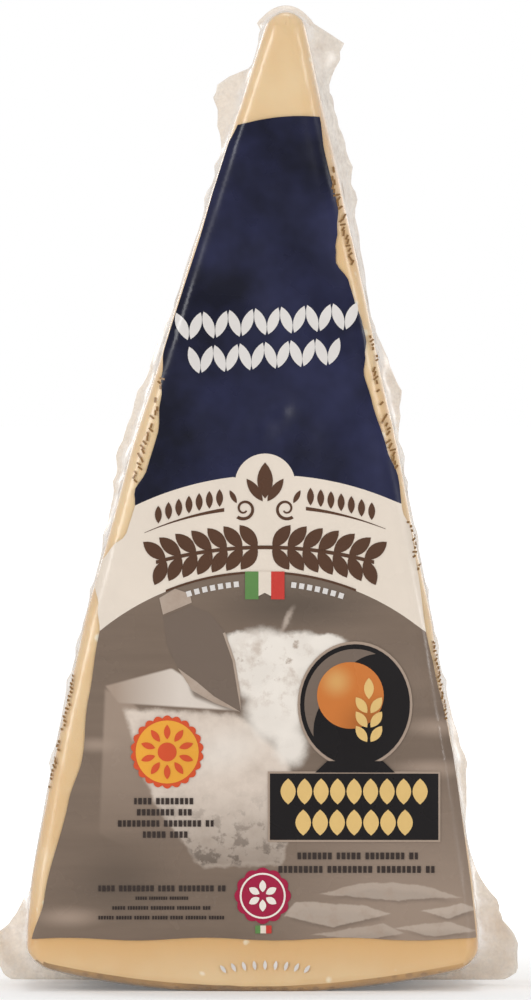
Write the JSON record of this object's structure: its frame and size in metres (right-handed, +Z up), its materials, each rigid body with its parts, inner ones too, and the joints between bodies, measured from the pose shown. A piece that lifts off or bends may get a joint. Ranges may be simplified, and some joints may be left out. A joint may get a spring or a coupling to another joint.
{
  "type": "vacuum-packed wedge of hard cheese",
  "caption": "Wedge of aged hard cheese in a clear shrink film with a printed front, standing on its rind with its tip up.",
  "frame": {"origin": "on the floor under the middle of the pack's box", "axes": "+Z up from the rind to the tip, -Y towards the printed front, +X to the right of the front"},
  "size_m": [0.1142, 0.075, 0.2128],
  "materials": {
    "packed_cheese": "pale golden cheese under tight clear film"
  },
  "bodies": {
    "root": {"vacuum_pack": "packed_cheese"}
  },
  "joints": []
}
